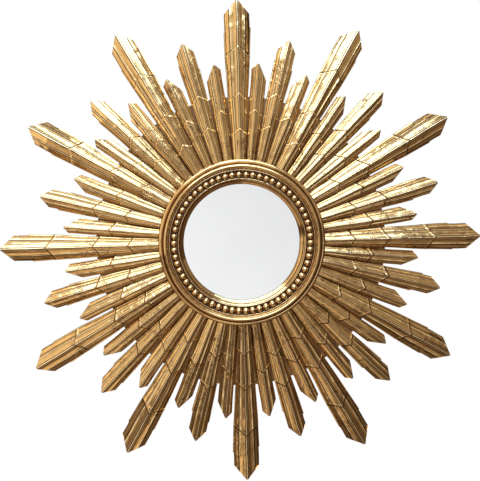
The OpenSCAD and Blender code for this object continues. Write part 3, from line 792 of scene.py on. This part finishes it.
def carveByHand(rows, laps, place, marks, rng):
    # Height: + sines that run along and skew across, + a tilt of its own for each face of each length,
    # - one more cut line on each such face, a bell across it. Across: + one slow sine along the ray
    at, share = rows[:, None], np.abs(signedShares)[None, :]
    calm = smoothStep(at, rows[0], rows[0] + carving["calmRun"])
    waver = np.zeros(place.shape[:2])
    for period, size in carving["wobblePeriods"]:
        phase, swing = rng.uniform(0, 2 * np.pi, 2)
        skew = carving["wobbleSkew"] * signedShares
        waver += size * np.sin(2 * np.pi * at / period + phase + skew + swing)
    place[:, :, 2] += carving["wobble"] * waver * np.interp(share, *carving["wobbleShares"]) * calm
    edges = np.array([rows[0], *laps[::-1], rows[-1]])
    length = np.clip(np.searchsorted(edges, rows, side="right") - 1, 0, len(edges) - 1)
    tilts = rng.normal(0, carving["lengthTilt"], (len(edges), 2))
    tilts = np.clip(tilts, -carving["tiltLimit"], carving["tiltLimit"])
    tilt = np.where(onLeft, tilts[length, 1:], tilts[length, :1])
    place[:, :, 2] += tilt * np.abs(place[:, :, 1]) * np.clip(share, 0, 1) * calm
    cuts = rng.uniform(*carving["cutShares"], (len(edges), 2))
    cut = np.where(onLeft, cuts[length, 1:], cuts[length, :1])
    line = bell(share, cut, carving["cutWidth"]) * calm
    beside = bell(share, cut - glazeWearAndShade["besideCut"], glazeWearAndShade["cutWearWidth"]) * calm
    place[:, :, 2] -= carving["cutDepth"] * line
    marks["recess"] = np.maximum(marks["recess"], glazeWearAndShade["cut"] * line)
    marks["wear"] = np.maximum(marks["wear"], glazeWearAndShade["cutWear"] * beside)
    sway = np.sin(2 * np.pi * at / carving["swayPeriod"] + rng.uniform(0, 6))
    place[:, :, 1] += carving["sway"] * sway * calm


def paintShadeBetween(place, marks):
    # Painted shade lies low between neighbours, most of all near the frame ring
    crowdShade = 1 - smoothStep(place[:, :, 0], *glazeWearAndShade["crowdEdge"])
    low = smoothStep(np.abs(signedShares), *glazeWearAndShade["crowdLip"])
    marks["recess"] = np.clip(marks["recess"] + crowdShade * low * glazeWearAndShade["crowdShade"], 0, 1)


def shellPoints(place):
    # The carved face row by row, then right and left points of the flat back, then those at tip and hub
    flat = np.array([1, 1, 0])
    floor = place[:, [0, -1]] * flat
    ends = place[[-1, 0], place.shape[1] // 2] * flat
    return np.concatenate([place.reshape(-1, 3), floor.reshape(-1, 3), ends])


def shellFaces(rowCount, columnCount):
    # The carved grid, strips down both edges, the two ends, and last the back, which starts at backStart
    top = rowCount * columnCount
    middle, lastRow = columnCount // 2, top - columnCount
    right = top + 2 * np.arange(rowCount)
    left = right + 1
    tip, hub = top + 2 * rowCount, top + 2 * rowCount + 1
    edgeRight = columnCount * np.arange(rowCount)
    edgeLeft = edgeRight + columnCount - 1
    faces = gridFaces(rowCount, columnCount)
    faces += np.stack([edgeRight[:-1], edgeRight[1:], right[1:], right[:-1]], axis=1).tolist()
    faces += np.stack([edgeLeft[:-1], left[:-1], left[1:], edgeLeft[1:]], axis=1).tolist()
    faces.append([tip, right[-1], *range(lastRow, lastRow + middle + 1)])
    faces.append([tip, *range(lastRow + middle, lastRow + columnCount), left[-1]])
    faces.append([hub, *range(middle, -1, -1), right[0]])
    faces.append([hub, left[0], *range(columnCount - 1, middle - 1, -1)])
    backStart = len(faces)
    faces += np.stack([right[1:-2], left[1:-2], left[2:-1], right[2:-1]], axis=1)[:, ::-1].tolist()
    faces.append([right[0], right[1], left[1], left[0], hub])
    faces.append([right[-2], right[-1], tip, left[-1], left[-2]])
    return [[int(corner) for corner in face] for face in faces], backStart


def setOnDisc(points, turn):
    # (along cos a - across sin a, -(disc's front + height), along sin a + across cos a), where a is the
    # ray's angle from the right
    angle = math.radians(90 + star["hangTurn"] + turn)
    along, across, height = (points * mm).T
    return np.stack([along * math.cos(angle) - across * math.sin(angle), -discFront - height,
                     along * math.sin(angle) + across * math.cos(angle)], axis=1)


def carveRay(name, node, turn, laps, keys, seed):
    rng = np.random.default_rng(seed)
    rows, place = layRows(keys, laps)
    marks = {key: np.broadcast_to(values, place.shape[:2]).copy()
             for key, values in mouldingMarks(np.abs(signedShares)).items()}
    raiseLaps(rows, laps, place, marks)
    carveByHand(rows, laps, place, marks, rng)
    paintShadeBetween(place, marks)
    points = shellPoints(place)
    faces, backStart = shellFaces(*place.shape[:2])
    unmarked = np.zeros(len(points) - len(rows) * len(signedShares))
    marks = {key: np.concatenate([values.reshape(-1), unmarked]) for key, values in marks.items()}
    # Each ray is gilded on its own stretch of leaf
    grain = points[:, [1, 0]] * mm + rng.uniform(0, 3, 2)
    makePiece(name, setOnDisc(points, turn), faces, rayLeaf, mirrorBody, (node,), marks, grain,
              backFaces=slice(backStart, len(faces)), backMaterial=backWood)


def makeRays():
    kinds = [
        ("long_ray", 0.0, longRayKeys()),
        ("medium_ray", star["mediumTurn"], mediumRayKeys()),
        ("short_ray_left", star["leftTurn"], shortRayKeys(True)),
        ("short_ray_right", star["rightTurn"], shortRayKeys(False)),
    ]
    for order, (kind, turn, (laps, keys)) in enumerate(kinds):
        for group in range(groups):
            carveRay(f"gilt_{kind}_{group + 1}", f"{kind}_{group + 1}", group * 360 / groups + turn,
                     laps, keys, seed=100 * order + group)


makeRays()
print("rays carved:", 4 * groups)


# Frame ring, turned from one profile

turning = {
    "steps": 288,
    "longest": 1.6,  # longest stretch between two points of the profile
    "wobble": 0.07,
    "waves": (2, 5, 9),  # the wobble's sines go round this many times
    "quirkRadius": 115.4,
    "quirkWidth": 0.55,
    "quirkDepth": 0.7,
    "quirkRise": (2, 11),  # only points between these are cut
    "grainRadius": 0.13,
    "sharp": 50,
}
# Section from the opening outwards, as radius and rise over the ring's back. A list holds points. The rest
# are arcs, with centre, radius or both half axes, first and last angle, and number of points
ringMembers = {
    "opening": [(109.0, 0.0), (109.0, 2.2)],
    "openingRound": ((110.2, 2.6), 1.2, 200, 100, 6),
    "cove": ((105.2, 15.4), 13.4, -70, -8, 34),
    "coveLip": [(118.6, 13.6)],
    "innerRim": ((119.3, 14.1), 0.9, 175, 90, 5),
    "innerRimEdge": ((119.8, 14.1), 0.9, 90, 5, 5),
    "beadChannel": [(120.8, 13.0), (120.8, 10.8), (121.1, 10.5), (135.1, 10.5), (135.4, 10.8),
                    (135.4, 16.6)],
    "outerRim": ((136.1, 17.3), 0.7, 175, 90, 5),
    "outerRimEdge": ((136.6, 17.3), 0.7, 90, 8, 5),
    "hollow": ((139.35, 18.1), 2.1, 197, 335, 18),
    "crownFoot": [(141.1, 18.2)],
    "crown": ((144.0, 21.0), 3.4, 208, -24, 36),
    "step": [(147.0, 18.4), (147.3, 15.0), (147.9, 14.2), (149.3, 14.2), (149.8, 14.6)],
    "band": ((152.3, 10.5), (4.2, 5.1), 140, 0, 24),
    "back": [(156.5, 4.0), (156.5, 0.0), (128.0, 0.0), (128.0, -6.0), (118.0, -6.0), (118.0, 0.0)],
}
ringPatina = {
    "arrisWear": 1.2,
    "hollowGlaze": 1.6,
    "frontRise": 1,
    "channel": (120.7, 135.5, 14),  # inner and outer radius, and highest rise
    # Painted shadow: a dark line on the opening's wall round the glass, out to this radius
    "openingTo": 109.3,
    "rim": (155, 5, 0.8),  # radius past which painted shadow fades in below the rise, where the ring meets the rays, and strength
    "upperRise": 13,
    "upperBands": {"step": (148.6, 1.2, 0.9), "hollow": (139.2, 1.8, 0.5)},
}


def ringProfile():
    # The members end to end, without points that would double
    members = [arc(*member) if isinstance(member, tuple) else np.array(member)
               for member in ringMembers.values()]
    outline = np.concatenate(members)
    apart = np.linalg.norm(np.diff(outline, axis=0), axis=1) > 1e-3
    return outline[np.concatenate([[True], apart])]


def splitLong(outline, longest):
    # Even points on each stretch longer than longest, so that marks along the profile stay sharp
    parts = []
    for start, end in zip(outline, np.roll(outline, -1, axis=0)):
        count = max(1, int(np.ceil(np.linalg.norm(end - start) / longest)))
        parts.append(start + (end - start) * np.linspace(0, 1, count, endpoint=False)[:, None])
    return np.concatenate(parts)


def turnRound(radius, rise, theta):
    # (radius * cos theta, -(ring's back + rise), radius * sin theta), in metres
    radius, depth, theta = np.broadcast_arrays(radius * mm, ringBack + rise * mm, theta)
    return np.stack([radius * np.cos(theta), -depth, radius * np.sin(theta)], axis=-1)


def ringMarks(radius, rise, bend, quirk):
    # Wear follows outward bends of the profile, glaze the inward ones, the channel and a few named bands.
    # Painted shadow lies on the opening's wall by the glass and on the foot of the band by the rays
    look = ringPatina
    wear = np.clip(-bend * look["arrisWear"], 0, 1) * (rise > look["frontRise"])
    channelInner, channelOuter, channelRise = look["channel"]
    rimShadowRadius, rimShadowRise, rimShadow = look["rim"]
    glazeAndShade = [
        np.clip(bend * look["hollowGlaze"], 0, 1),
        quirk,
        1.0 * ((radius > channelInner) & (radius < channelOuter) & (rise < channelRise)),
        # painted shadow on the opening's wall, round the glass
        1.0 * (radius < look["openingTo"]),
        # painted shadow at the foot of the band, where the rays meet the ring
        rimShadow * smoothStep(rise, rimShadowRise, 0) * (radius > rimShadowRadius),
    ]
    for middle, width, strength in look["upperBands"].values():
        glazeAndShade.append(strength * bell(radius, middle, width) * (rise > look["upperRise"]))
    return {"wear": wear, "recess": np.maximum.reduce(glazeAndShade)}


def makeFrameRing():
    # The profile turned about the star's centre, its radius wavering by a few sines of the angle
    outline = splitLong(ringProfile(), turning["longest"])
    before, after = np.roll(outline, 1, axis=0), np.roll(outline, -1, axis=0)
    radius, rise = outline.T
    lowest, highest = turning["quirkRise"]
    quirk = bell(radius, turning["quirkRadius"], turning["quirkWidth"]) * (rise > lowest) * (rise < highest)
    rise -= turning["quirkDepth"] * quirk
    # The bend at a point is the angle between the stretches before and after it
    inward, outward = outline - before, after - outline
    sizes = np.linalg.norm(inward, axis=1) * np.linalg.norm(outward, axis=1)
    bend = np.arcsin(np.clip(np.cross(inward, outward) / sizes, -1, 1))
    count = turning["steps"]
    theta = np.arange(count)[:, None] * 2 * np.pi / count
    rng = np.random.default_rng(7)
    waver = sum(np.sin(wave * theta + rng.uniform(0, 6)) for wave in turning["waves"]) * turning["wobble"]
    points = turnRound(radius + waver * (rise > ringPatina["frontRise"]), rise, theta)
    # Grain runs round the ring: X is the way along the profile, Y the way round
    way = np.cumsum(np.linalg.norm(inward, axis=1)) * mm
    grain = np.stack(np.broadcast_arrays(way, theta * turning["grainRadius"]), axis=-1)
    marks = {key: np.broadcast_to(values, grain.shape[:2])
             for key, values in ringMarks(radius, rise, bend, quirk).items()}
    faces = gridFaces(count, len(outline), closeRows=True, closeColumns=True)
    makePiece("turned_frame_ring", points, faces, ringLeaf, mirrorBody, ("frame_ring",), marks,
              grain, sharp=turning["sharp"])


makeFrameRing()
print("frame ring turned")


# Beads and the strip that they sit on

beads = {
    "count": 62,
    "diameter": 12.5,
    "path": 128.1,  # radius of the circle through their centres
    "rise": 16.9,  # and its rise over the ring's back
    "segments": 24,
    "rings": 14,
    "unevenSize": 0.006,
    "unevenTurn": 0.0012,
    "unevenPath": 0.12,
    "glazeEdge": (-0.25, 0.55),  # heights on a ball of radius 1
    "wearEdge": (0.75, 1.0),
    "wear": 0.6,
    "sharp": 80,
}
bed = {
    "outline": [(121.1, 10.5), (121.1, 11.8), (121.5, 12.2), (134.7, 12.2), (135.1, 11.8), (135.1, 10.5)],
    "longest": 1.5,
    "steps": 240,
    "grainRadius": 0.126,
}


def unitBall(around, rings):
    # (sin p cos t, sin p sin t, cos p), with one point at each pole, and its quads and triangles
    polar = np.radians(np.linspace(0, 180, rings + 1))[1:-1, None]
    turn = np.arange(around)[None, :] * 2 * np.pi / around
    body = np.stack(np.broadcast_arrays(np.sin(polar) * np.cos(turn), np.sin(polar) * np.sin(turn),
                                        np.cos(polar)), axis=-1).reshape(-1, 3)
    ball = np.concatenate([[[0, 0, 1.0]], body, [[0, 0, -1.0]]])
    here = np.arange(around)
    following = (here + 1) % around
    lastRing, pole = 1 + (rings - 2) * around, len(ball) - 1
    top = np.stack([1 + following, 1 + here, 0 * here], axis=1)
    bottom = np.stack([pole + 0 * here, lastRing + here, lastRing + following], axis=1)
    quads = np.array(gridFaces(rings - 1, around, closeColumns=True, first=1))
    return ball, quads, np.concatenate([top, bottom])


def makeBeads():
    # One ball at each of count even turns, with its size, turn and distance from the centre a little off
    rng = np.random.default_rng(11)
    count = beads["count"]
    ball, quads, triangles = unitBall(beads["segments"], beads["rings"])
    place = ball * beads["diameter"] / 2 * (1 + rng.normal(0, beads["unevenSize"], (count, 1, 3)))
    theta = np.arange(count) * 2 * np.pi / count + rng.normal(0, beads["unevenTurn"], count)
    path = beads["path"] + rng.normal(0, beads["unevenPath"], count)
    cosine, sine = np.cos(theta)[:, None], np.sin(theta)[:, None]
    outward, sideways, forward = path[:, None] + place[:, :, 0], place[:, :, 1], place[:, :, 2]
    x = (outward * cosine - sideways * sine) * mm
    z = (outward * sine + sideways * cosine) * mm
    points = np.stack([x, -ringBack - (beads["rise"] + forward) * mm, z], axis=-1)
    shift = (np.arange(count) * len(ball))[:, None, None]
    faces = (quads + shift).reshape(-1, 4).tolist() + (triangles + shift).reshape(-1, 3).tolist()
    height = np.broadcast_to(ball[:, 2], (count, len(ball)))
    marks = {"wear": beads["wear"] * smoothStep(height, *beads["wearEdge"]),
             "recess": 1 - smoothStep(height, *beads["glazeEdge"])}
    makePiece("gilt_beads", points, faces, ringLeaf, mirrorBody, ("bead_strip",), marks,
              np.stack([x, z], axis=-1), sharp=beads["sharp"])


def makeBeadBed():
    # Thin strip under the beads, its outline turned in the ring's channel
    radius, rise = splitLong(np.array(bed["outline"]), bed["longest"]).T
    theta = np.arange(bed["steps"])[:, None] * 2 * np.pi / bed["steps"]
    points = turnRound(radius, rise, theta)
    grain = np.stack(np.broadcast_arrays(radius * mm, theta * bed["grainRadius"]), axis=-1)
    full = np.ones(grain.shape[:2])
    makePiece("bead_bed", points, gridFaces(bed["steps"], len(radius), True, True), ringLeaf, mirrorBody,
              (), {"wear": 0 * full, "recess": full}, grain)


makeBeads()
makeBeadBed()
print("beads made:", beads["count"])


# CAD pieces that keep their own shape get their material

keptPieces = {
    "backing_disc": plywood,
    "mirror_glass": mirrorGlass,
    "glass_pad": felt,
    "wall_pads": felt,
    "ray_screws": zinc,
    "ring_screws": zinc,
    "hanger_screws": zinc,
    "hanger_strap": brass,
    "hanger_ring": brass,
}
for node, material in keptPieces.items():
    nodes[node].data.materials.clear()
    nodes[node].data.materials.append(material)


# Floor, well below a mirror that hangs

floorLook = {"half": 2.6, "level": -1.15, "pale": (0.83, 0.83, 0.82), "dim": (0.8, 0.8, 0.79),
             "cloudScale": 3, "roughness": 0.9}


def makeFloor():
    # One square with a faint cloud of noise in its colour
    half, level = floorLook["half"], floorLook["level"]
    mesh = bpy.data.meshes.new("studio_floor")
    corners = [(-half, -half, level), (half, -half, level), (half, half, level), (-half, half, level)]
    mesh.from_pydata(corners, [], [(0, 1, 2, 3)])
    floor = bpy.data.objects.new("studio_floor", mesh)
    bpy.context.collection.objects.link(floor)
    material, net, place = startMaterial("studio_floor")
    cloud = net.noise(place, floorLook["cloudScale"])
    color = net.blend(net.ramp(cloud, 0.3, 0.7), floorLook["dim"], floorLook["pale"])
    finishMaterial(net, color, floorLook["roughness"])
    mesh.materials.append(material)
    floor.visible_glossy = False


makeFloor()
